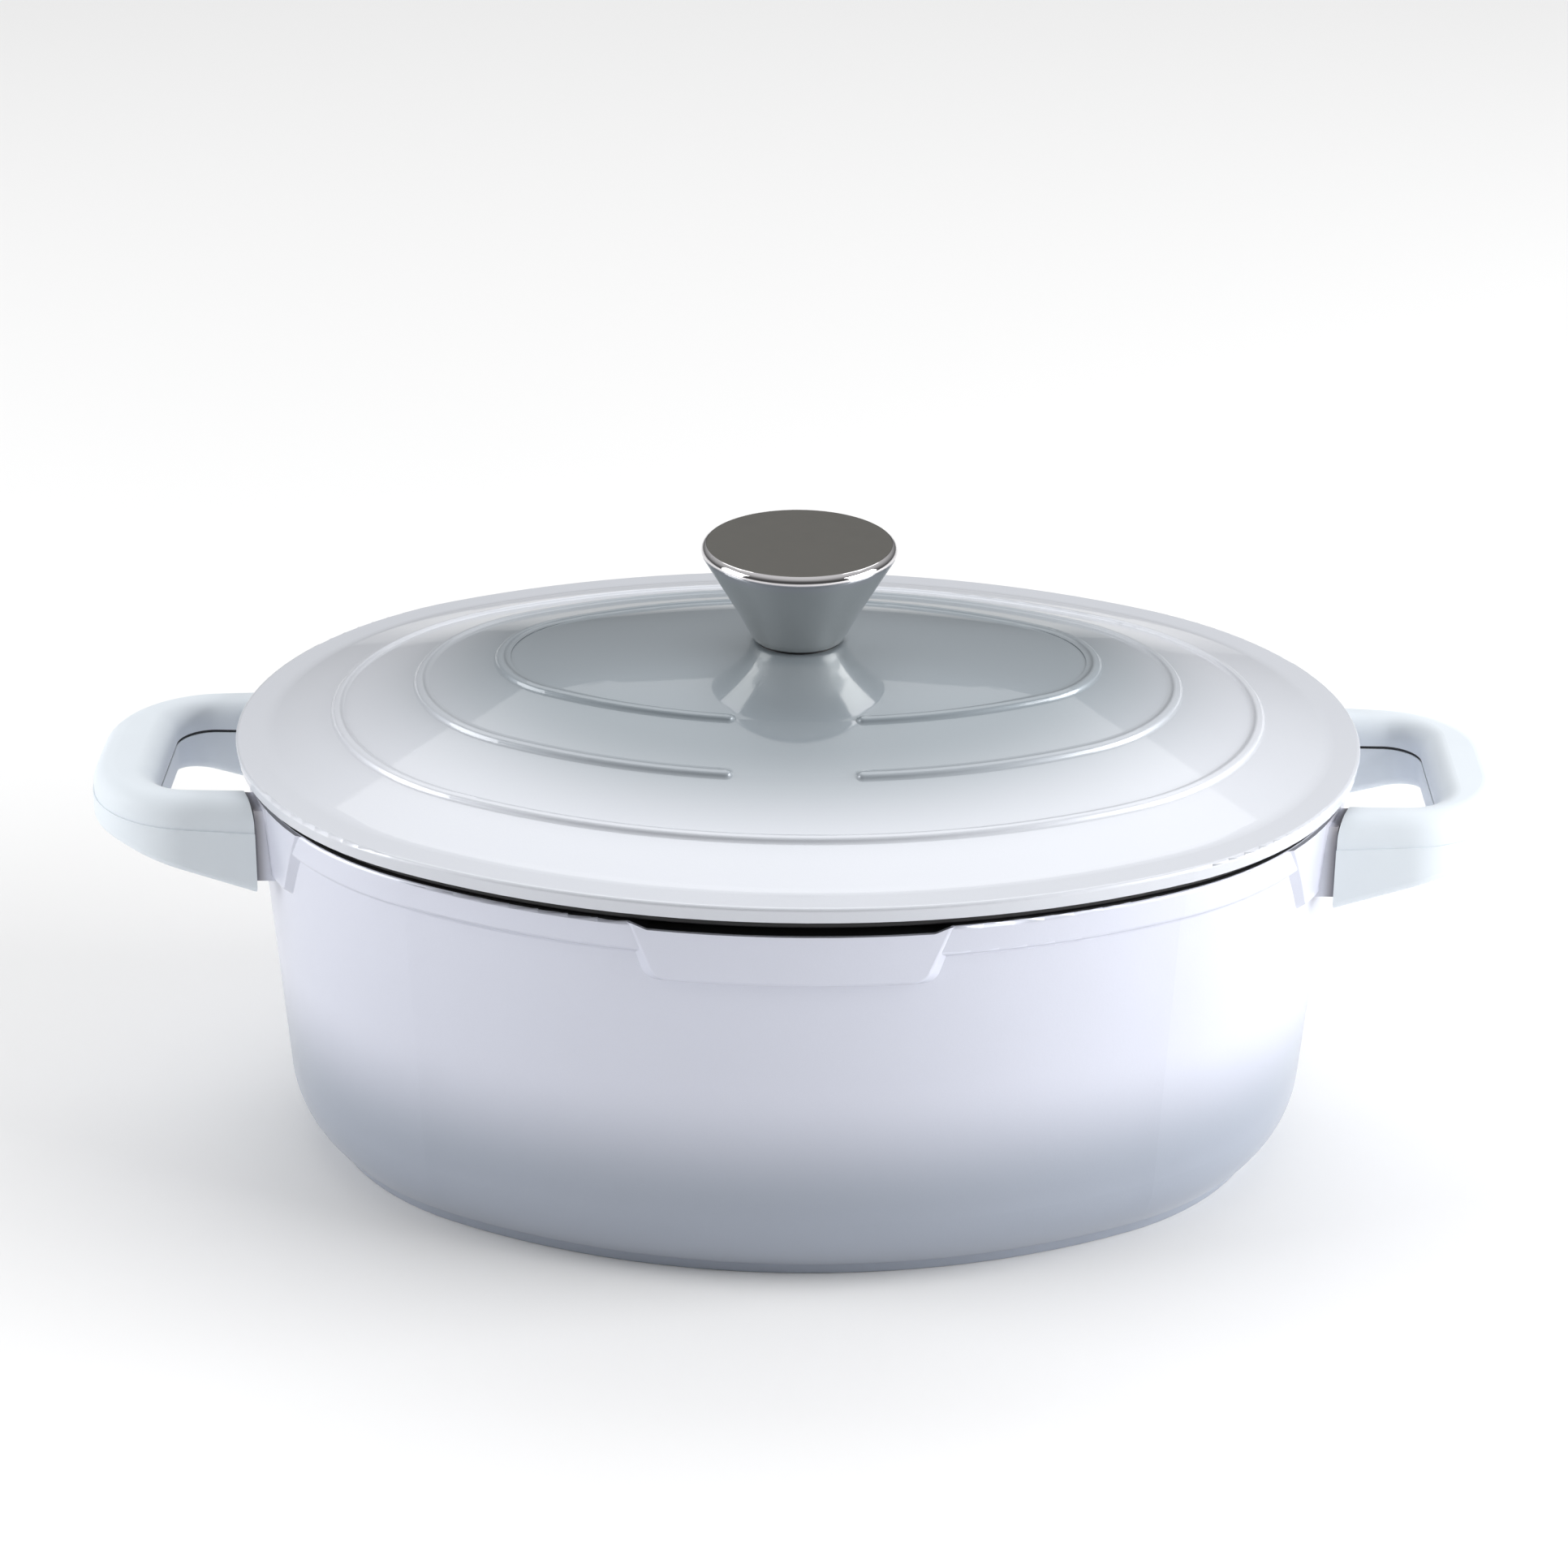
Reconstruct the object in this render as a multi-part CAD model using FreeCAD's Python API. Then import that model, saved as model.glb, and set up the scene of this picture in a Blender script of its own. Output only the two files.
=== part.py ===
"""Oval casserole with a lift-off lid: coated pot, steel knob and two-piece soft grips.

Millimetres, +Z up. The origin is the centre of the base, on the surface that the pot stands on.
The long axis is X, and the handles stand at its two ends. The front panel faces -Y.

Every ring and wall follows one plan oval, drawn with four arcs. An "inset" is a distance measured
inwards from that oval, so a negative inset lies outside it.
"""
import FreeCAD, Part
import math
import os

from FreeCAD import Vector

# Plan oval: the lower edge of the lid
OVAL_HALF_LENGTH = 160.0
OVAL_HALF_WIDTH = 119.6
END_RADIUS = 105.0

# Heights
RIM_Z = 115.8
FLOOR_Z = 6.0
LID_EDGE_Z = 119.4
KNOB_SEAT_Z = 150.8
KNOB_TOP_Z = 179.8

# Pot
RIM_INSET = 2.9
RIM_INNER_INSET = 9.0
WALL_TOP_INSET = 4.9
WALL_MID_INSET = 6.4
OUTER_CORNER = (11.9, 12.3, 26.0)
INNER_CORNER = (15.4, FLOOR_Z, 15.0)
FOOT_INSET = 19.6
FOOT_Z = 4.5
BASE_INSET = 22.2
DISC_INSET = 28.0
DISC_RECESS = 1.8
DISC_THICKNESS = 1.5
FLOOR_FLAT_INSET = 48.0

# Raised bosses on the pot wall: the front panel and the pad under each handle
BOSS_ROOT_INSET = 8.2
BOSS_FACE_LIMIT = 5.3
BOSS_BEVEL = 3.0
BOSS_SPARE = 4.0
BOSS_TOP_DROP = 0.3
PANEL_HALF_WIDTH = 38.6
PANEL_LEAN = 0.34
PANEL_FLARE = 0.9
PANEL_LOW_Z = 99.7
PANEL_INSETS = (2.5, 2.5)
PANEL_CORNER = 6.0
PANEL_EDGE_ROUND = 1.2
PAD_HALF_WIDTH = 61.2
PAD_LEAN = 0.41
PAD_FLARE = 0.4
PAD_LOW_Z = 93.6
PAD_INSETS = (2.2, 3.9)
PAD_CORNER = 3.5
PAD_EDGE_ROUND = 0.5
PAD_EDGE_X = 139.1
NOTCH_DEPTH = 1.8
NOTCH_HALF_WIDTH = 38.0
NOTCH_RAMP = 5.0

# Handles, described for the +X end
HANDLE_REACH = 201.8
HANDLE_TOP_Z = 115.6
PARTING_Z = 107.0
CORE_GAP = 0.9
GRIP_ROOT_X = 140.0
GRIP_ROOT_HALF = 44.6
GRIP_TIP_HALF = 38.4
GRIP_CORNER = 33.0
GRIP_END_INSET = -0.3
GRIP_HALF_OPENING = 28.0
GRIP_OPENING_X = 182.0
GRIP_OPENING_CORNER = 10.5
GRIP_STEP = 0.35
GRIP_TOP_ROUND = 6.2
GRIP_BOTTOM_ROUND = 3.0
UNDERSIDE_FLAT_X = 190.0
UNDERSIDE_FLAT_Z = 98.2
UNDERSIDE_SLOPE = 0.262
CORE_WALL = 2.4
CORE_LOW_Z = 100.8
CORE_HIGH_Z = 111.0
LUG_Y = (29.4, 42.0)
LUG_Z = (92.0, 113.6)
TONGUE_Y = (32.0, 37.6)
TONGUE_Z = (102.6, 108.4)
TONGUE_TIP_X = 170.0
TONGUE_CLEARANCE = 0.4

# Grip screws, M4
SCREW_X = 162.5
SCREW_Y = 34.8
SCREW_SEAT_Z = 95.6
WASHER_THICKNESS = 0.9
SCREW_HEAD_RADIUS = 3.5
SCREW_HEAD_HEIGHT = 3.0
SCREW_RADIUS = 1.95
SCREW_TIP_Z = 106.4
THREAD_RADIUS = 2.0
THREAD_END_Z = 107.0
CLEARANCE_RADIUS = 2.3
COUNTERBORE_RADIUS = 4.1

# Lid
LID_THICKNESS = 3.6
LID_FLANGE = (8.5, 124.4)
LID_RINGS = ((28.5, 130.3), (52.2, 137.9), (75.3, 144.3))
LID_FLARE = 0.8
LID_RIM_TOP_Z = 123.9
LOCATING_RIB = (12.0, 14.5, 112.0)
RIDGE_HALF_WIDTH = 2.2
RIDGE_HEIGHT = 1.05
RIDGE_GAP_HALF = 18.6
CROWN_RISE_RATE = 10.1
CROWN_STEPS = 5
KNOB_SEAT_RADIUS = 14.5

# Gasket
GASKET_INSET = 4.2
GASKET_CLEARANCE = 0.05
SKIRT_INSET = 10.0
SKIRT_Z = 110.4

# Knob, turned profile
SEAL_THICKNESS = 0.6
SEAL_RADIUS = 12.2
KNOB_BASE_RADIUS = 13.0
KNOB_WAIST = (17.5, 160.0)
KNOB_EDGE = (28.5, 178.6)
KNOB_EDGE_ROUND = 2.2
KNOB_FACE_RADIUS = 26.3
KNOB_WALL = 1.6
KNOB_CAP_THICKNESS = 1.4
INSERT_RADIUS = 8.0
INSERT_TOP_Z = 170.0
KNOB_SCREW_RADIUS = 2.95
KNOB_THREAD_RADIUS = 3.0
KNOB_HOLE_RADIUS = 3.3
KNOB_SCREW_TIP_Z = 164.0
KNOB_WASHER_RADIUS = 9.0
KNOB_WASHER_THICKNESS = 1.2
KNOB_SCREW_HEAD_RADIUS = 5.4
KNOB_SCREW_HEAD_HEIGHT = 3.4

UP = Vector(0, 0, 1)
ORIGIN = Vector(0, 0, 0)

END_CENTRE = OVAL_HALF_LENGTH - END_RADIUS
SIDE_SPAN = END_CENTRE ** 2 + OVAL_HALF_WIDTH ** 2 - END_RADIUS ** 2
SIDE_RADIUS = SIDE_SPAN / (2 * (OVAL_HALF_WIDTH - END_RADIUS))
SIDE_CENTRE = SIDE_RADIUS - OVAL_HALF_WIDTH
JOIN_ANGLE = math.degrees(math.atan2(SIDE_CENTRE, END_CENTRE))


# ---------------------------------------------------------------- plan oval and profiles

def oval_arcs(scale=1.0, end_radius=END_RADIUS):
    """Centre, radius, start angle and sweep of the four arcs. The centres spread with scale."""
    side_radius = end_radius + scale * math.hypot(END_CENTRE, SIDE_CENTRE)
    end_sweep = 2 * JOIN_ANGLE
    side_sweep = 180 - end_sweep
    return [
        (Vector(scale * END_CENTRE, 0, 0), end_radius, -JOIN_ANGLE, end_sweep),
        (Vector(0, -scale * SIDE_CENTRE, 0), side_radius, JOIN_ANGLE, side_sweep),
        (Vector(-scale * END_CENTRE, 0, 0), end_radius, 180 - JOIN_ANGLE, end_sweep),
        (Vector(0, scale * SIDE_CENTRE, 0), side_radius, 180 + JOIN_ANGLE, side_sweep),
    ]


def oval_wire(z, inset=0.0, scale=1.0, end_radius=END_RADIUS):
    arcs = []
    for centre, radius, start, sweep in oval_arcs(scale, end_radius):
        middle = centre + UP * z
        arcs.append(Part.makeCircle(radius - inset, middle, UP, start, start + sweep))
    return Part.Wire(arcs)


def oval_prism(inset, low, high):
    return Part.Face(oval_wire(low, inset)).extrude(UP * (high - low))


def oval_band(outer_inset, inner_inset, low, high):
    return oval_prism(outer_inset, low, high).cut(oval_prism(inner_inset, low - 1, high + 1))


def rounded_path(corners, closed=False):
    """Wire in the XZ plane through (x, z, radius) corners, each rounded with its radius."""
    points = [Vector(x, 0, z) for x, z, _ in corners]
    count = len(points)
    edges = []
    first = last = None
    for i, (x, z, radius) in enumerate(corners):
        at_end = not closed and i in (0, count - 1)
        if radius <= 0 or at_end:
            enter = leave = points[i]
            arc = None
        else:
            back = (points[i - 1] - points[i]).normalize()
            ahead = (points[(i + 1) % count] - points[i]).normalize()
            half = back.getAngle(ahead) / 2
            enter = points[i] + back * (radius / math.tan(half))
            leave = points[i] + ahead * (radius / math.tan(half))
            bisector = (back + ahead).normalize()
            middle = points[i] + bisector * (radius / math.sin(half) - radius)
            arc = Part.Arc(enter, middle, leave).toShape()
        if last is None:
            first = enter
        elif last.distanceToPoint(enter) > 1e-6:
            edges.append(Part.LineSegment(last, enter).toShape())
        if arc:
            edges.append(arc)
        last = leave
    if closed and last.distanceToPoint(first) > 1e-6:
        edges.append(Part.LineSegment(last, first).toShape())
    return Part.Wire(edges)


def inset_path(corners, closed=False):
    """A profile given as (inset, z, radius) corners, ready to sweep round the oval."""
    return rounded_path([(-inset, z, radius) for inset, z, radius in corners], closed)


def profile_at(profile, centre, radius, angle):
    """The profile stood up on an arc of the oval, at an angle round the arc's centre."""
    placed = profile.copy()
    placed.translate(Vector(radius, 0, 0))
    placed.rotate(ORIGIN, UP, angle)
    placed.translate(centre)
    return placed


def swept_faces(profile):
    """Faces of a profile wire carried once round the oval."""
    faces = []
    for centre, radius, start, sweep in oval_arcs():
        faces += profile_at(profile, centre, radius, start).revolve(centre, UP, sweep).Faces
    return faces


def solid_from(faces):
    """Closed solid from faces that meet edge to edge."""
    sewn = Part.makeCompound(faces)
    sewn.sewShape()
    shell = Part.Shell(sewn.Faces)
    if Part.Solid(shell).Volume < 0:
        shell.reverse()
    return Part.Solid(shell)


def turned(corners):
    """Solid of revolution about Z from a closed (radius, z, corner radius) profile."""
    return Part.Face(rounded_path(corners, closed=True)).revolve(ORIGIN, UP, 360)


def rod(radius, low, high, x=0.0, y=0.0):
    return Part.makeCylinder(radius, high - low, Vector(x, y, low), UP)


def block(x_range, y_range, z_range):
    sizes = [high - low for low, high in (x_range, y_range, z_range)]
    return Part.makeBox(*sizes, Vector(x_range[0], y_range[0], z_range[0]))


def plan_face(corners, z):
    """Horizontal face at height z, inside a closed (x, y, radius) outline."""
    face = Part.Face(rounded_path(corners, closed=True))
    face.rotate(ORIGIN, Vector(1, 0, 0), -90)
    face.translate(UP * z)
    return face


def mirrored_x(shape):
    return shape.mirror(ORIGIN, Vector(1, 0, 0))


def mirrored_y(shape):
    return shape.mirror(ORIGIN, Vector(0, 1, 0))


# ---------------------------------------------------------------- pot

def pot_shell():
    """Wall, rim, floor and foot ring, with the recess under the floor for the steel disc."""
    profile = inset_path([
        (DISC_INSET, DISC_RECESS, 0),
        (DISC_INSET, 0, 0.5),
        (BASE_INSET, 0, 0.9),
        (BASE_INSET - 1.3, FOOT_Z, 0.5),
        (FOOT_INSET, FOOT_Z, 0.6),
        OUTER_CORNER,
        (WALL_MID_INSET, 84.0, 260.0),
        (WALL_TOP_INSET, 106.3, 1.2),
        (RIM_INSET + 0.2, 107.6, 1.2),
        (RIM_INSET, RIM_Z, 1.2),
        (RIM_INNER_INSET, RIM_Z, 1.2),
        INNER_CORNER,
        (FLOOR_FLAT_INSET, FLOOR_Z, 0),
    ])
    floor = Part.Face(oval_wire(FLOOR_Z, FLOOR_FLAT_INSET))
    recess = Part.Face(oval_wire(DISC_RECESS, DISC_INSET))
    return solid_from(swept_faces(profile) + [floor, recess])


def boss_belt(insets, low_z):
    """Belt round the upper wall, from which the bosses are cut. Its lower edge is bevelled.

    The insets are those of its face at the rim and at its lower edge. It runs on above the rim.
    """
    lean = (insets[1] - insets[0]) / (RIM_Z - low_z)
    profile = inset_path([
        (insets[0] - lean * BOSS_SPARE, RIM_Z + BOSS_SPARE, 0),
        (insets[1], low_z, 0),
        (BOSS_ROOT_INSET, low_z - BOSS_BEVEL, 0),
        (BOSS_ROOT_INSET, RIM_Z + BOSS_SPARE, 0),
    ], closed=True)
    return solid_from(swept_faces(profile))


def boss_wedge(half_width, lean, flare, edge_y):
    """Wedge facing -Y whose sides lean in towards the foot, and spread towards the wall.

    The half width is measured at the rim, on the plane that lies edge_y in front of the origin.
    """
    low_z, high_z = 80.0, 130.0
    near, far = edge_y + 26.0, 102.0

    def outline(y):
        grow = flare * (edge_y - y)
        low_half = half_width - lean * (RIM_Z - low_z) + grow
        high_half = half_width + lean * (high_z - RIM_Z) + grow
        corners = [(-low_half, low_z), (low_half, low_z), (high_half, high_z), (-high_half, high_z)]
        points = [Vector(x, -y, z) for x, z in corners]
        return Part.makePolygon(points + points[:1])

    return Part.makeLoft([outline(near), outline(far)], True)


def raised_boss(wedge, insets, low_z, corner, edge_round):
    """Boss on the wall, with rounded lower corners and a softened outline, ending just below the rim."""
    boss = boss_belt(insets, low_z).common(wedge)
    corners = []
    for edge in boss.Edges:
        box = edge.BoundBox
        if box.ZLength > BOSS_BEVEL - 0.1 and box.ZMax < low_z + 0.1:
            corners.append(edge)
    boss = boss.makeFillet(corner, corners)
    behind = oval_prism(BOSS_FACE_LIMIT, low_z - 10, RIM_Z + 10)
    outline = []
    for edge in boss.Edges:
        box = edge.BoundBox
        on_face = box.ZMin > low_z - 0.1 and not behind.isInside(edge.CenterOfMass, 0.1, True)
        if on_face and box.ZMin < RIM_Z - 1:
            outline.append(edge)
    above = block((-170, 170), (-130, 130), (RIM_Z - BOSS_TOP_DROP, RIM_Z + BOSS_SPARE + 1))
    return boss.makeFillet(edge_round, outline).cut(above)


def front_panel():
    wedge = boss_wedge(PANEL_HALF_WIDTH, PANEL_LEAN, PANEL_FLARE, OVAL_HALF_WIDTH - PANEL_INSETS[0])
    return raised_boss(wedge, PANEL_INSETS, PANEL_LOW_Z, PANEL_CORNER, PANEL_EDGE_ROUND)


def handle_pad():
    """Pad at the +X end, on the curved wall."""
    wedge = boss_wedge(PAD_HALF_WIDTH, PAD_LEAN, PAD_FLARE, PAD_EDGE_X)
    wedge.rotate(ORIGIN, UP, 90)
    return raised_boss(wedge, PAD_INSETS, PAD_LOW_Z, PAD_CORNER, PAD_EDGE_ROUND)


def lug():
    """Lug and tongue that carry one leg of the +X handle, on the +Y side."""
    outside = oval_prism(BOSS_ROOT_INSET, LUG_Z[0], LUG_Z[1])
    end = oval_prism(GRIP_END_INSET + 0.3, LUG_Z[0] - 1, LUG_Z[1] + 1)
    body = block((120, 165), LUG_Y, LUG_Z).common(end)
    body = body.cut(outside)
    tongue = block((150, TONGUE_TIP_X), TONGUE_Y, TONGUE_Z)
    return body.fuse(tongue).cut(rod(THREAD_RADIUS, TONGUE_Z[0] - 1, THREAD_END_Z, SCREW_X, SCREW_Y))


def rim_notch():
    """Shallow pouring notch in the rim, behind the front panel."""
    wire = rounded_path([
        (-NOTCH_HALF_WIDTH, RIM_Z - NOTCH_DEPTH, 2.0),
        (-NOTCH_HALF_WIDTH - NOTCH_RAMP, RIM_Z + 0.1, 0),
        (NOTCH_HALF_WIDTH + NOTCH_RAMP, RIM_Z + 0.1, 0),
        (NOTCH_HALF_WIDTH, RIM_Z - NOTCH_DEPTH, 2.0),
    ], closed=True)
    wire.translate(Vector(0, -OVAL_HALF_WIDTH - 5, 0))
    return Part.Face(wire).extrude(Vector(0, 25, 0))


def pot_casting():
    pads = [handle_pad(), mirrored_x(handle_pad())]
    lugs = []
    for side in (lug(), mirrored_y(lug())):
        lugs += [side, mirrored_x(side)]
    casting = pot_shell().fuse([front_panel()] + pads + lugs)
    return casting.cut(rim_notch()).Solids[0]


def base_disc():
    bottom = DISC_RECESS - DISC_THICKNESS
    return oval_prism(DISC_INSET + 0.2, bottom, DISC_RECESS)


# ---------------------------------------------------------------- handles, +X end

def grip_block(step):
    """Whole grip, before it is parted. The step draws its outer wall in."""
    root = GRIP_ROOT_X
    tip = HANDLE_REACH - step
    plan = plan_face([
        (root, -GRIP_ROOT_HALF + step, 0),
        (tip, -GRIP_TIP_HALF + step, GRIP_CORNER - step),
        (tip, GRIP_TIP_HALF - step, GRIP_CORNER - step),
        (root, GRIP_ROOT_HALF - step, 0),
        (root, GRIP_HALF_OPENING, 0),
        (GRIP_OPENING_X, GRIP_HALF_OPENING, GRIP_OPENING_CORNER),
        (GRIP_OPENING_X, -GRIP_HALF_OPENING, GRIP_OPENING_CORNER),
        (root, -GRIP_HALF_OPENING, 0),
    ], 80.0)
    return plan.extrude(UP * (HANDLE_TOP_Z - 80.0))


def underside_cutter():
    """Everything below the grip: flat under the outer bar, sloping down towards the pot."""
    root_z = UNDERSIDE_FLAT_Z - UNDERSIDE_SLOPE * (UNDERSIDE_FLAT_X - 130.0)
    wire = rounded_path([
        (130.0, root_z, 0),
        (UNDERSIDE_FLAT_X, UNDERSIDE_FLAT_Z, 30.0),
        (210.0, UNDERSIDE_FLAT_Z, 0),
        (210.0, 70.0, 0),
        (130.0, 70.0, 0),
    ], closed=True)
    wire.translate(Vector(0, -60, 0))
    return Part.Face(wire).extrude(Vector(0, 120, 0))


def long_edges(shape, low, high):
    """Edges of a grip that run along its outer wall or its opening, between two heights."""
    return [
        edge for edge in shape.Edges
        if edge.BoundBox.ZMin > low and edge.BoundBox.ZMax < high
        and edge.BoundBox.XMax > GRIP_ROOT_X + 0.1
    ]


def grip_halves():
    """Upper and lower covers of the +X handle, each hollowed for the core."""
    above = block((130, 210), (-60, 60), (PARTING_Z, 130))
    below = block((130, 210), (-60, 60), (70, PARTING_Z))
    upper = grip_block(GRIP_STEP).common(above)
    upper = upper.makeFillet(GRIP_TOP_ROUND, long_edges(upper, HANDLE_TOP_Z - 0.1, HANDLE_TOP_Z + 0.1))
    lower = grip_block(0).common(below).cut(underside_cutter())
    lower = lower.makeFillet(GRIP_BOTTOM_ROUND, long_edges(lower, 70, UNDERSIDE_FLAT_Z + 0.1))
    pot_side = oval_prism(GRIP_END_INSET, 70, 130)
    hollow = core_block()
    halves = []
    for half in (upper, lower):
        half = half.cut(pot_side).cut(hollow)
        halves.append(half.cut(seam_plate(0.0)).cut(screw_holes()))
    return halves


def core_plan(wall, opening_wall, z, height):
    """Loop inside the grip, keeping a wall to its outside and another to its opening."""
    tip = HANDLE_REACH - wall
    inner = GRIP_HALF_OPENING + opening_wall
    opening = GRIP_OPENING_X + opening_wall
    return plan_face([
        (GRIP_ROOT_X, -GRIP_ROOT_HALF + wall, 0),
        (tip, -GRIP_TIP_HALF + wall, GRIP_CORNER - wall),
        (tip, GRIP_TIP_HALF - wall, GRIP_CORNER - wall),
        (GRIP_ROOT_X, GRIP_ROOT_HALF - wall, 0),
        (GRIP_ROOT_X, inner, 0),
        (opening, inner, GRIP_OPENING_CORNER + opening_wall),
        (opening, -inner, GRIP_OPENING_CORNER + opening_wall),
        (GRIP_ROOT_X, -inner, 0),
    ], z).extrude(UP * height)


def core_block():
    return core_plan(CORE_WALL, CORE_WALL, CORE_LOW_Z, CORE_HIGH_Z - CORE_LOW_Z)


def seam_plate(opening_wall):
    """Thin rib of the core that fills the gap between the covers, round the opening."""
    return core_plan(CORE_WALL, opening_wall, PARTING_Z - CORE_GAP / 2, CORE_GAP)


def screw_holes():
    holes = []
    for y in (-SCREW_Y, SCREW_Y):
        holes.append(rod(CLEARANCE_RADIUS, 80, CORE_LOW_Z + 5, SCREW_X, y))
        holes.append(rod(COUNTERBORE_RADIUS, 80, SCREW_SEAT_Z, SCREW_X, y))
    return Part.makeCompound(holes)


def handle_core():
    """Stiff loop that joins the two lugs, forked over their tongues."""
    core = core_block().fuse(seam_plate(0.3)).cut(oval_prism(GRIP_END_INSET - 0.5, 70, 130))
    for side in (1, -1):
        near, far = TONGUE_Y[0] - TONGUE_CLEARANCE, TONGUE_Y[1] + TONGUE_CLEARANCE
        y_range = sorted((side * near, side * far))
        core = core.cut(block((130, TONGUE_TIP_X + TONGUE_CLEARANCE), y_range, TONGUE_Z))
        core = core.cut(rod(CLEARANCE_RADIUS, 90, TONGUE_Z[0], SCREW_X, side * SCREW_Y))
    return core.Solids[0]


def grip_screws():
    """Two socket-head screws, driven up through the core into the tongues."""
    seat = SCREW_SEAT_Z - WASHER_THICKNESS
    screws = []
    for y in (-SCREW_Y, SCREW_Y):
        head = turned([
            (0, seat - SCREW_HEAD_HEIGHT, 0),
            (SCREW_HEAD_RADIUS, seat - SCREW_HEAD_HEIGHT, 1.0),
            (SCREW_HEAD_RADIUS, seat, 0),
            (SCREW_RADIUS, seat, 0),
            (SCREW_RADIUS, SCREW_TIP_Z, 0.5),
            (0, SCREW_TIP_Z, 0),
        ])
        socket = hexagon(1.5, seat - SCREW_HEAD_HEIGHT - 1, seat - 1.2)
        screw = head.cut(socket)
        screw.translate(Vector(SCREW_X, y, 0))
        screws.append(screw)
    return Part.makeCompound(screws)


def grip_washers():
    washers = []
    for y in (-SCREW_Y, SCREW_Y):
        low = SCREW_SEAT_Z - WASHER_THICKNESS
        ring = washer(CLEARANCE_RADIUS, SCREW_HEAD_RADIUS + 0.2, low, SCREW_SEAT_Z)
        ring.translate(Vector(SCREW_X, y, 0))
        washers.append(ring)
    return Part.makeCompound(washers)


def hexagon(apothem, low, high):
    reach = apothem / math.cos(math.pi / 6)
    angles = [k * math.pi / 3 for k in range(7)]
    points = [Vector(reach * math.cos(angle), reach * math.sin(angle), low) for angle in angles]
    return Part.Face(Part.makePolygon(points)).extrude(UP * (high - low))


def washer(inner, outer, low, high):
    return rod(outer, low, high).cut(rod(inner, low - 1, high + 1))


# ---------------------------------------------------------------- lid

def crown_faces(drop):
    """Crown between the innermost ridge and the round knob seat, as a face set lowered by drop."""
    inset, ring_z = LID_RINGS[-1]
    start_radius = END_RADIUS - inset
    rise = KNOB_SEAT_Z - ring_z
    sections = []
    for i in range(CROWN_STEPS + 1):
        t = i / CROWN_STEPS
        z = ring_z + CROWN_RISE_RATE * t + (rise - CROWN_RISE_RATE) * t * t
        end_radius = start_radius + (KNOB_SEAT_RADIUS - start_radius) * t
        sections.append(oval_wire(z - drop, 0.0, 1 - t, end_radius))
    return Part.makeLoft(sections, False, False).Faces + [Part.Face(sections[-1])]


def lid_plate():
    flange_inset, flange_z = LID_FLANGE
    rib_outer, rib_inner, rib_z = LOCATING_RIB
    rings = list(LID_RINGS)
    top = [(inset, z, 0) for inset, z in reversed(rings)]
    slope = (rings[0][1] - flange_z) / (rings[0][0] - flange_inset)
    rib_top_z = flange_z + slope * (rib_inner - flange_inset) - LID_THICKNESS
    below = [(inset, z - LID_THICKNESS, 0) for inset, z in rings]
    profile = inset_path(top + [
        (flange_inset, flange_z, 14.0),
        (-LID_FLARE, LID_RIM_TOP_Z, 1.0),
        (0, LID_EDGE_Z, 0.5),
        (rib_outer, LID_EDGE_Z, 0),
        (rib_outer, rib_z, 0.8),
        (rib_inner, rib_z, 0.8),
        (rib_inner, rib_top_z, 1.0),
    ] + below)
    return solid_from(swept_faces(profile) + crown_faces(0.0) + crown_faces(LID_THICKNESS))


def ridge_section(slope, whole):
    """Low round bead standing on the lid's slope, with a soft foot on each side, or its outer half."""
    half, height = RIDGE_HALF_WIDTH, RIDGE_HEIGHT
    outer_side = [
        (half + 0.6, -0.6, 0),
        (half + 0.6, -0.12, 0),
        (half - 0.55, 0.10, 1.6),
        (half - 1.35, height, 1.0),
    ]
    inner_side = [(0, height, 0), (0, -0.6, 0)]
    if whole:
        inner_side = [(-across, up, radius) for across, up, radius in reversed(outer_side)]
    section = Part.Face(rounded_path(outer_side + inner_side, closed=True))
    section.rotate(ORIGIN, Vector(0, 1, 0), math.degrees(math.atan(slope)))
    return section


def ridge(inset, z, slope, broken):
    """Raised ring on the lid. A broken one stops each side of the front with round ends."""
    section, half_section = ridge_section(slope, True), ridge_section(slope, False)
    for face in (section, half_section):
        face.translate(Vector(-inset, 0, z))
    pieces = []
    for centre, radius, start, sweep in oval_arcs():
        front = centre.y > 1
        if not (broken and front):
            pieces.append(profile_at(section, centre, radius, start).revolve(centre, UP, sweep))
            continue
        gap = math.degrees(math.asin(RIDGE_GAP_HALF / (radius - inset)))
        run = sweep / 2 - gap
        for begin in (start, start + sweep - run):
            pieces.append(profile_at(section, centre, radius, begin).revolve(centre, UP, run))
        for side in (-1, 1):
            angle = start + sweep / 2 + side * gap
            radial = Vector(math.cos(math.radians(angle)), math.sin(math.radians(angle)), 0)
            foot = centre + radial * (radius - inset) + UP * z
            axis = (UP + radial * slope).normalize()
            pieces.append(profile_at(half_section, centre, radius, angle).revolve(foot, axis, -side * 180))
    return pieces


def lid_casting():
    lid = lid_plate()
    slopes = []
    previous = LID_FLANGE
    for ring in LID_RINGS:
        slopes.append((ring[1] - previous[1]) / (ring[0] - previous[0]))
        previous = ring
    ridges = []
    for (inset, z), slope, broken in zip(LID_RINGS, slopes, (False, True, True)):
        ridges += ridge(inset, z, slope, broken)
    lid = lid.fuse(ridges)
    return lid.cut(rod(KNOB_HOLE_RADIUS, KNOB_SEAT_Z - 20, KNOB_SEAT_Z + 5))


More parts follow.
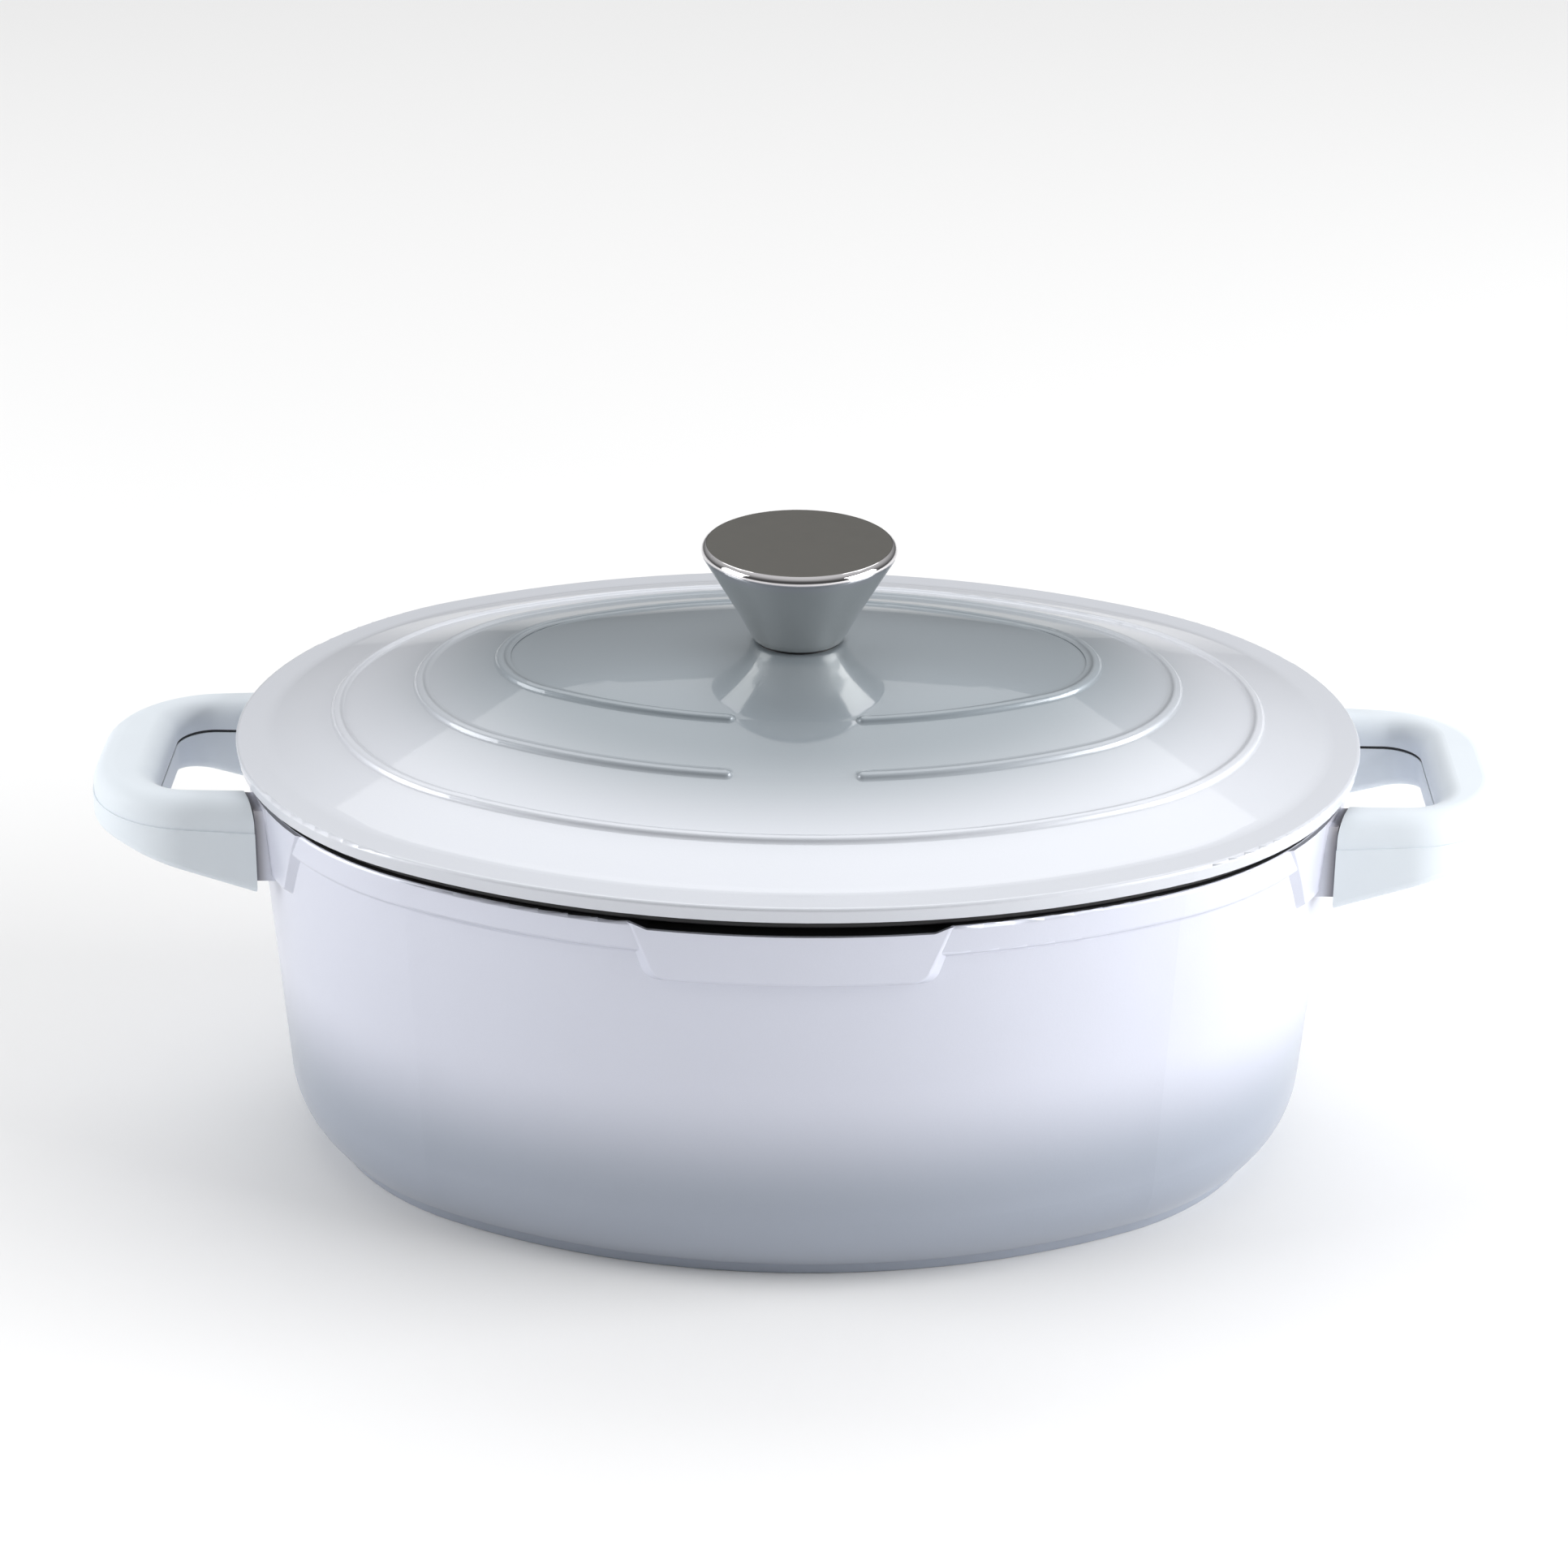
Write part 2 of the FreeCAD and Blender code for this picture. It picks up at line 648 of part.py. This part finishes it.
def lid_gasket():
    """Silicone ring stretched round the lid's rib, lying on the rim, with a skirt inside the pot."""
    low = RIM_Z + GASKET_CLEARANCE
    rib_outer = LOCATING_RIB[0]
    profile = inset_path([
        (GASKET_INSET, LID_EDGE_Z, 0),
        (GASKET_INSET, low, 0.8),
        (SKIRT_INSET, low, 0.6),
        (SKIRT_INSET + 0.5, SKIRT_Z, 0.8),
        (rib_outer, SKIRT_Z, 0.4),
        (rib_outer, LID_EDGE_Z, 0),
    ], closed=True)
    return solid_from(swept_faces(profile))


# ---------------------------------------------------------------- knob

def knob_shell():
    """Drawn steel shell: polished flared side and rolled edge, open at the base and under the cap."""
    base = KNOB_SEAT_Z + SEAL_THICKNESS
    cap_z = KNOB_TOP_Z - KNOB_CAP_THICKNESS
    return turned([
        (INSERT_RADIUS, base, 0),
        (KNOB_BASE_RADIUS, base, 1.3),
        (KNOB_WAIST[0], KNOB_WAIST[1], 70.0),
        (KNOB_EDGE[0], KNOB_EDGE[1], KNOB_EDGE_ROUND),
        (KNOB_FACE_RADIUS, KNOB_TOP_Z, 0),
        (KNOB_FACE_RADIUS, cap_z, 0),
        (KNOB_FACE_RADIUS - KNOB_WALL, cap_z, 0),
        (KNOB_FACE_RADIUS - KNOB_WALL, cap_z - 4.0, 2.0),
        (KNOB_WAIST[0] - KNOB_WALL, KNOB_WAIST[1], 70.0),
        (KNOB_BASE_RADIUS - KNOB_WALL, base + KNOB_WALL, 0),
        (INSERT_RADIUS, base + KNOB_WALL, 0),
    ])


def knob_cap():
    """Brushed disc pressed into the top of the knob."""
    cap_z = KNOB_TOP_Z - KNOB_CAP_THICKNESS
    return turned([
        (0, cap_z, 0),
        (KNOB_FACE_RADIUS, cap_z, 0),
        (KNOB_FACE_RADIUS, KNOB_TOP_Z, 0.15),
        (0, KNOB_TOP_Z, 0),
    ])


def knob_insert():
    """Threaded bush inside the knob, blind at the top."""
    base = KNOB_SEAT_Z + SEAL_THICKNESS
    return turned([
        (KNOB_THREAD_RADIUS, base, 0),
        (INSERT_RADIUS, base, 0),
        (INSERT_RADIUS, base + KNOB_WALL, 0),
        (INSERT_RADIUS + 2.0, base + KNOB_WALL, 0),
        (INSERT_RADIUS + 2.0, base + KNOB_WALL + 2.0, 0.4),
        (INSERT_RADIUS - 1.5, base + KNOB_WALL + 2.0, 0.4),
        (INSERT_RADIUS - 1.5, INSERT_TOP_Z, 0.8),
        (0, INSERT_TOP_Z, 0),
        (0, KNOB_SCREW_TIP_Z + 1, 0),
        (KNOB_THREAD_RADIUS, KNOB_SCREW_TIP_Z, 0),
    ])


def knob_seal():
    return washer(KNOB_HOLE_RADIUS, SEAL_RADIUS, KNOB_SEAT_Z, KNOB_SEAT_Z + SEAL_THICKNESS)


def knob_washer():
    seat = KNOB_SEAT_Z - LID_THICKNESS
    return washer(KNOB_HOLE_RADIUS, KNOB_WASHER_RADIUS, seat - KNOB_WASHER_THICKNESS, seat)


def knob_screw():
    """Screw that holds the knob, with its head under the lid."""
    seat = KNOB_SEAT_Z - LID_THICKNESS - KNOB_WASHER_THICKNESS
    head_z = seat - KNOB_SCREW_HEAD_HEIGHT
    blank = turned([
        (0, head_z, 0),
        (KNOB_SCREW_HEAD_RADIUS, head_z, 1.6),
        (KNOB_SCREW_HEAD_RADIUS, seat, 0),
        (KNOB_SCREW_RADIUS, seat, 0),
        (KNOB_SCREW_RADIUS, KNOB_SCREW_TIP_Z - 1, 0.6),
        (0, KNOB_SCREW_TIP_Z - 1, 0),
    ])
    slot_a = block((-3.4, 3.4), (-0.6, 0.6), (head_z - 1, head_z + 1.9))
    slot_b = block((-0.6, 0.6), (-3.4, 3.4), (head_z - 1, head_z + 1.9))
    return blank.cut(slot_a.fuse(slot_b))


# ---------------------------------------------------------------- export

def both_ends(name, shape):
    return {"right_" + name: shape, "left_" + name: mirrored_x(shape)}


def all_nodes():
    upper, lower = grip_halves()
    nodes = {
        "pot_casting": pot_casting(),
        "base_disc": base_disc(),
        "lid_casting": lid_casting(),
        "lid_gasket": lid_gasket(),
        "knob_shell": knob_shell(),
        "knob_cap": knob_cap(),
        "knob_insert": knob_insert(),
        "knob_seal": knob_seal(),
        "knob_washer": knob_washer(),
        "knob_screw": knob_screw(),
    }
    nodes.update(both_ends("handle_core", handle_core()))
    nodes.update(both_ends("grip_upper", upper))
    nodes.update(both_ends("grip_lower", lower))
    nodes.update(both_ends("grip_screws", grip_screws()))
    nodes.update(both_ends("grip_washers", grip_washers()))
    return nodes


os.makedirs("parts", exist_ok=True)
for node, shape in all_nodes().items():
    shape.exportStep("parts/" + node + ".step")
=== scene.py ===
"""Looks, light and camera for the oval casserole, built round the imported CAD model."""
import math
from collections import namedtuple

import bpy
from mathutils import Matrix, Vector

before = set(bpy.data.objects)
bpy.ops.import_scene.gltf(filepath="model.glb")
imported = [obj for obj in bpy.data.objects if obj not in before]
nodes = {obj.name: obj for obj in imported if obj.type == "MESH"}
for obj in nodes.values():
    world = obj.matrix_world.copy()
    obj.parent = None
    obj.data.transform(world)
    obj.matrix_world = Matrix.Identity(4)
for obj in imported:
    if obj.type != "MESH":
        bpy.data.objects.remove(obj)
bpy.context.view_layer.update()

# Plan oval of the CAD model, in metres
END_RADIUS = 0.105
END_CENTRE = 0.055
SIDE_RADIUS = 0.2159
SIDE_CENTRE = 0.0963

# Where the coats change, and where the painted shade on the pot's foot and lugs fades, in metres
POT_SHADE_FADE_Z = (0.026, 0.066)
LUG_SHADE_INSET = (0.0002, 0.0034)
LUG_HALF_SPREAD = 0.0445
LUG_LOW_Z = 0.088
WALL_INSET = 0.0082
BASE_TOP_Z = 0.005
NOTCH_FLOOR_Z = 0.1132
RIM_TOP_Z = 0.1155
RIM_INSET = 0.0036
LID_HALF_SIZE = (0.160, 0.1196)
LID_FADE_REACH = (0.46, 0.85)
LID_RIB_Z = 0.1192
LID_EDGE_INSET = 0.0006
FLECKED_BELOW_Z = 0.112
KNOB_EDGE_Z = (0.1742, 0.1762)

# Strength of the surround at the horizon and overhead
HORIZON_GLOW = 0.09
OVERHEAD_GLOW = 0.82

# A shaded point: its place, its distance inwards from the plan oval, and which way its surface faces
Spot = namedtuple("Spot", "x y z inset up outwards")


# ---------------------------------------------------------------- shader helpers

class Shader:
    """Short calls for building one node material."""

    def __init__(self, name, **settings):
        self.material = bpy.data.materials.new(name)
        self.material.use_nodes = True
        self.tree = self.material.node_tree
        self.bsdf = self.tree.nodes["Principled BSDF"]
        for socket, value in settings.items():
            self.bsdf.inputs[socket.replace("_", " ")].default_value = value

    def node(self, kind, settings=None, **inputs):
        made = self.tree.nodes.new(kind)
        for name, value in (settings or {}).items():
            setattr(made, name, value)
        for name, value in inputs.items():
            key = int(name[1:]) if name[0] == "i" and name[1:].isdigit() else name.replace("_", " ")
            self.put(made.inputs[key], value)
        return made

    def put(self, socket, value):
        if isinstance(value, bpy.types.NodeSocket):
            self.tree.links.new(value, socket)
        else:
            socket.default_value = value

    def math(self, operation, *values):
        made = self.tree.nodes.new("ShaderNodeMath")
        made.operation = operation
        for socket, value in zip(made.inputs, values):
            self.put(socket, value)
        return made.outputs[0]

    def length(self, first, second):
        """Length of the plane vector (first, second)."""
        squares = self.math("ADD", self.math("POWER", first, 2.0), self.math("POWER", second, 2.0))
        return self.math("SQRT", squares)

    def position(self):
        """The point in the object's own coordinates, as x, y and z outputs."""
        coordinates = self.node("ShaderNodeTexCoord")
        self.point = coordinates.outputs["Object"]
        split = self.node("ShaderNodeSeparateXYZ", i0=self.point)
        return split.outputs

    def above(self, value, low, high):
        """0 below low and 1 above high, smooth between."""
        made = self.node("ShaderNodeMapRange", {"interpolation_type": "SMOOTHSTEP"},
                         Value=value, From_Min=low, From_Max=high)
        return made.outputs[0]

    def mix(self, amount, first, second):
        made = self.node("ShaderNodeMix", {"data_type": "RGBA"}, i0=amount, i6=first, i7=second)
        return made.outputs[2]

    def noise(self, scale, detail, vector=None):
        made = self.node("ShaderNodeTexNoise", Scale=scale, Detail=detail, Vector=vector or self.point)
        return made.outputs["Fac"]

    def bump(self, height, distance, strength):
        made = self.node("ShaderNodeBump", Height=height, Distance=distance, Strength=strength)
        self.put(self.bsdf.inputs["Normal"], made.outputs[0])

    def set(self, **inputs):
        for name, value in inputs.items():
            self.put(self.bsdf.inputs[name.replace("_", " ")], value)


def linear(red, green, blue):
    """Shader colour from an 8-bit display colour."""
    def one(value):
        value /= 255
        return value / 12.92 if value <= 0.04045 else ((value + 0.055) / 1.055) ** 2.4
    return (one(red), one(green), one(blue), 1.0)


def oval_inset(shader, x, y):
    """Distance inwards from the plan oval, which is two end arcs and two side arcs."""
    m = shader.math
    across, along = m("ABSOLUTE", x), m("ABSOLUTE", y)
    past_end = m("SUBTRACT", across, END_CENTRE)
    behind_side = m("ADD", along, SIDE_CENTRE)
    end_gap = m("SUBTRACT", END_RADIUS, shader.length(past_end, along))
    side_gap = m("SUBTRACT", SIDE_RADIUS, shader.length(across, behind_side))
    in_side = m("GREATER_THAN", along, m("MULTIPLY", past_end, SIDE_CENTRE / END_CENTRE))
    return m("ADD", m("MULTIPLY", in_side, side_gap), m("MULTIPLY", m("SUBTRACT", 1.0, in_side), end_gap))


def facing(shader, x, y):
    """The surface normal's upward part, and whether it points away from the middle in plan (above 0)."""
    geometry = shader.node("ShaderNodeNewGeometry")
    normal = shader.node("ShaderNodeSeparateXYZ", i0=geometry.outputs["Normal"]).outputs
    m = shader.math
    outwards = m("ADD", m("MULTIPLY", normal[0], x), m("MULTIPLY", normal[1], m("MULTIPLY", y, 1.8)))
    return normal[2], outwards


# ---------------------------------------------------------------- materials

LINING = linear(38, 39, 41)
LINING_FLECK = linear(112, 114, 118)


def coated(name, shade, lining_mask, gloss):
    """Flake paint under a thin clear coat outside, and a dark speckled lining where the mask is 1."""
    s = Shader(name, Metallic=0.3, Coat_Weight=0.7, Coat_Roughness=gloss, Coat_IOR=1.5)
    x, y, z = s.position()
    spot = Spot(x, y, z, oval_inset(s, x, y), *facing(s, x, y))
    lining = lining_mask(s, spot)
    coat_and_shade = shade(s, spot)
    flake = s.noise(5200.0, 1.0)
    cloud = s.noise(38.0, 3.0)
    sparkle = s.math("ADD", s.math("MULTIPLY", flake, 0.07), s.math("MULTIPLY", cloud, 0.02))
    lift = s.math("ADD", 0.955, sparkle)
    value = s.node("ShaderNodeHueSaturation", Value=lift, Color=coat_and_shade).outputs[0]
    fleck = s.above(s.noise(900.0, 0.0), 0.66, 0.7)
    fleck = s.math("MULTIPLY", fleck, s.math("LESS_THAN", z, FLECKED_BELOW_Z))
    dark = s.mix(fleck, LINING, LINING_FLECK)
    s.set(Base_Color=s.mix(lining, value, dark))
    rough = s.math("ADD", 0.40, s.math("MULTIPLY", flake, 0.10))
    s.set(Roughness=s.math("ADD", rough, s.math("MULTIPLY", lining, 0.06)))
    s.bump(s.noise(1500.0, 2.0), 0.00003, 0.5)
    return s.material


def pot_shade(s, spot):
    """Slate grey at the foot, fading to near white up the wall: mostly painted shade from the dim floor
    under the curved foot, with a slight fade in the coat itself. The lug sides get a painted shade grey;
    their coat is the same as the wall's.
    """
    m = s.math
    # Painted shade: the foot is darkened for the dim, shadowed floor it faces under its curve, with a
    # slight fade in the coat as well
    rise = s.above(spot.z, *POT_SHADE_FADE_Z)
    coat_and_shade = s.mix(rise, linear(156, 163, 176), linear(209, 212, 225))
    # Painted shade: the lug sides between the grip ends and the pad get a darker grey for the shade that
    # falls there; the coat is the same as the wall's
    lug_side_shade = m("SUBTRACT", 1.0, s.above(spot.inset, *LUG_SHADE_INSET))
    lug_shade = m("MULTIPLY", lug_side_shade, m("LESS_THAN", m("ABSOLUTE", spot.y), LUG_HALF_SPREAD))
    lug_shade = m("MULTIPLY", lug_shade, m("GREATER_THAN", spot.z, LUG_LOW_Z))
    return s.mix(lug_shade, coat_and_shade, linear(146, 144, 150))


def pot_lining(s, spot):
    """1 on the inner wall, the floor, the top of the rim and the notch."""
    m = s.math
    within = m("GREATER_THAN", spot.inset, WALL_INSET)
    wall = m("MULTIPLY", within, m("LESS_THAN", spot.outwards, 0.0))
    floor = m("MULTIPLY", within, m("GREATER_THAN", spot.up, 0.3))
    inner = m("MULTIPLY", m("MAXIMUM", wall, floor), m("GREATER_THAN", spot.z, BASE_TOP_Z))
    notch = m("MULTIPLY", m("GREATER_THAN", spot.z, NOTCH_FLOOR_Z), m("GREATER_THAN", spot.up, 0.85))
    rim = m("MAXIMUM", notch, m("GREATER_THAN", spot.z, RIM_TOP_Z))
    rim = m("MULTIPLY", rim, m("GREATER_THAN", spot.inset, RIM_INSET))
    return m("MAXIMUM", inner, rim)


def lid_shade(s, spot):
    """Near white at the edge, fading to slate grey towards the knob."""
    m = s.math
    along = m("DIVIDE", spot.x, LID_HALF_SIZE[0])
    across = m("DIVIDE", spot.y, LID_HALF_SIZE[1])
    fade = s.above(s.length(along, across), *LID_FADE_REACH)
    return s.mix(fade, linear(135, 144, 151), linear(207, 210, 217))


def lid_lining(s, spot):
    """1 on the underside and the locating rib."""
    m = s.math
    below = m("LESS_THAN", spot.up, -0.3)
    rib = m("LESS_THAN", spot.z, LID_RIB_Z)
    return m("MULTIPLY", m("MAXIMUM", below, rib), m("GREATER_THAN", spot.inset, LID_EDGE_INSET))


def soft_grip():
    """Soft-touch silicone: matte, with a faint bloom and a very fine grain."""
    s = Shader("soft_grip", Sheen_Weight=0.15, Sheen_Roughness=0.5, Specular_IOR_Level=0.35)
    s.position()
    cloud = s.noise(60.0, 3.0)
    s.set(Base_Color=s.mix(cloud, linear(213, 220, 227), linear(219, 226, 232)))
    s.set(Roughness=s.math("ADD", 0.5, s.math("MULTIPLY", cloud, 0.14)))
    s.bump(s.noise(2600.0, 2.0), 0.00003, 0.5)
    return s.material


def dark_rubber(name, colour, roughness):
    """Black plastic or silicone with a fine grain and a faint cloud."""
    s = Shader(name, Specular_IOR_Level=0.4)
    s.position()
    cloud = s.noise(90.0, 3.0)
    s.set(Base_Color=s.mix(cloud, colour, tuple(1.5 * part for part in colour[:3]) + (1.0,)))
    s.set(Roughness=s.math("ADD", roughness, s.math("MULTIPLY", cloud, 0.12)))
    s.bump(s.noise(1800.0, 2.0), 0.00003, 0.4)
    return s.material


def polished_knob():
    """Mirror edge band above a finer satin flank, turned about the knob's axis."""
    s = Shader("polished_steel", Metallic=1.0)
    x, y, z = s.position()
    edge = s.above(z, *KNOB_EDGE_Z)
    turned = s.node("ShaderNodeCombineXYZ", X=x, Y=y, Z=s.math("MULTIPLY", z, 30.0)).outputs[0]
    rings = s.noise(160.0, 4.0, turned)
    s.set(Base_Color=s.mix(edge, linear(212, 212, 210), linear(214, 212, 214)))
    satin = s.math("ADD", 0.07, s.math("MULTIPLY", rings, 0.06))
    s.set(Roughness=s.math("SUBTRACT", satin, s.math("MULTIPLY", edge, 0.06)))
    s.bump(rings, 0.00001, 0.3)
    return s.material


def brushed_cap():
    """Steel disc brushed in straight lines along X."""
    s = Shader("brushed_cap", Metallic=1.0)
    x, y, z = s.position()
    lines = s.node("ShaderNodeCombineXYZ", X=s.math("MULTIPLY", x, 0.02), Y=y, Z=z).outputs[0]
    grain = s.noise(9000.0, 3.0, lines)
    s.set(Base_Color=s.mix(grain, linear(94, 93, 89), linear(120, 118, 113)))
    s.set(Roughness=s.math("ADD", 0.30, s.math("MULTIPLY", grain, 0.2)))
    s.bump(grain, 0.00001, 0.4)
    return s.material


def turned_steel(name, colour, pitch):
    """Steel with fine concentric tool marks."""
    s = Shader(name, Metallic=1.0)
    x, y, z = s.position()
    wave = s.math("SINE", s.math("MULTIPLY", s.length(x, y), 2 * math.pi / pitch))
    cloud = s.noise(140.0, 3.0)
    s.set(Base_Color=s.mix(cloud, colour, tuple(0.8 * part for part in colour[:3]) + (1.0,)))
    s.set(Roughness=s.math("ADD", 0.3, s.math("MULTIPLY", cloud, 0.12)))
    s.bump(wave, 0.00002, 0.3)
    return s.material


def clothe():
    """Give every CAD node its material."""
    pot = coated("pot_coat_and_painted_shade", pot_shade, pot_lining, 0.2)
    lid = coated("lid_coat", lid_shade, lid_lining, 0.05)
    grip = soft_grip()
    core = dark_rubber("core_plastic", linear(34, 35, 37), 0.5)
    silicone = dark_rubber("black_silicone", linear(24, 24, 26), 0.42)
    fastener = turned_steel("fastener_steel", linear(188, 188, 186), 0.0006)
    base = turned_steel("base_steel", linear(190, 190, 188), 0.0011)
    chosen = {
        "pot_casting": pot,
        "lid_casting": lid,
        "lid_gasket": silicone,
        "knob_seal": silicone,
        "knob_shell": polished_knob(),
        "knob_cap": brushed_cap(),
        "base_disc": base,
    }
    for end in ("right", "left"):
        chosen[end + "_handle_core"] = core
        chosen[end + "_grip_upper"] = grip
        chosen[end + "_grip_lower"] = grip
    for name, node in nodes.items():
        node.data.materials.clear()
        node.data.materials.append(chosen.get(name, fastener))


# ---------------------------------------------------------------- stage, light and camera

def stage():
    """Plain pale floor."""
    bpy.ops.mesh.primitive_plane_add(size=24.0, location=(0, 3.0, 0))
    floor = bpy.context.object
    floor.name = "floor"
    s = Shader("floor", Base_Color=(0.84, 0.84, 0.84, 1.0), Roughness=0.9, Specular_IOR_Level=0.1)
    floor.data.materials.append(s.material)


def softbox(name, location, target, size, power):
    """Rectangular lamp turned towards its target."""
    light = bpy.data.lights.new(name, "AREA")
    light.shape = "RECTANGLE"
    light.size, light.size_y = size
    light.energy = power
    lamp = bpy.data.objects.new(name, light)
    lamp.location = location
    lamp.rotation_euler = (Vector(target) - Vector(location)).to_track_quat("-Z", "Y").to_euler()
    bpy.context.scene.collection.objects.link(lamp)


def studio_world():
    """Surround that glows overhead and behind the pot, and dims to the front and the horizon."""
    world = bpy.data.worlds.new("studio")
    bpy.context.scene.world = world
    world.use_nodes = True
    tree = world.node_tree
    coordinates = tree.nodes.new("ShaderNodeTexCoord")
    slant = tree.nodes.new("ShaderNodeVectorMath")
    slant.operation = "DOT_PRODUCT"
    slant.inputs[1].default_value = (0.0, 0.3, 1.0)
    tree.links.new(coordinates.outputs["Generated"], slant.inputs[0])
    glow = tree.nodes.new("ShaderNodeMapRange")
    glow.interpolation_type = "SMOOTHSTEP"
    spans = {"From Min": 0.1, "From Max": 1.1, "To Min": HORIZON_GLOW, "To Max": OVERHEAD_GLOW}
    for name, value in spans.items():
        glow.inputs[name].default_value = value
    tree.links.new(slant.outputs["Value"], glow.inputs["Value"])
    tree.links.new(glow.outputs[0], tree.nodes["Background"].inputs[1])
    tree.nodes["Background"].inputs[0].default_value = (1.0, 1.0, 1.0, 1.0)


def lights():
    """A stronger box on the right, a weaker one on the left, and a wide one over the back."""
    softbox("right_box", (1.60, -0.30, 0.58), (0, 0, 0.05), (1.2, 1.1), 39.0)
    softbox("left_box", (-1.65, -0.22, 0.62), (0, 0, 0.05), (1.0, 1.2), 21.0)
    softbox("over_box", (0.0, 1.5, 2.3), (0, 1.0, 0.0), (3.0, 1.4), 19.0)


def camera():
    """Camera in front of the pot and above it, with a small roll."""
    data = bpy.data.cameras.new("camera")
    data.sensor_width = 36.0
    data.lens = 95.4
    data.clip_start, data.clip_end = 0.05, 50.0
    cam = bpy.data.objects.new("camera", data)
    place, target = Vector((0.0127, -1.0927, 0.6010)), Vector((-0.00377, 0.0, 0.1052))
    cam.rotation_mode = "QUATERNION"
    cam.location = place
    look = (target - place).to_track_quat("-Z", "Y")
    cam.rotation_quaternion = look @ Matrix.Rotation(math.radians(0.48), 4, "Z").to_quaternion()
    bpy.context.scene.collection.objects.link(cam)
    bpy.context.scene.camera = cam
    bpy.context.scene.view_settings.view_transform = "Standard"


clothe()
stage()
studio_world()
lights()
camera()
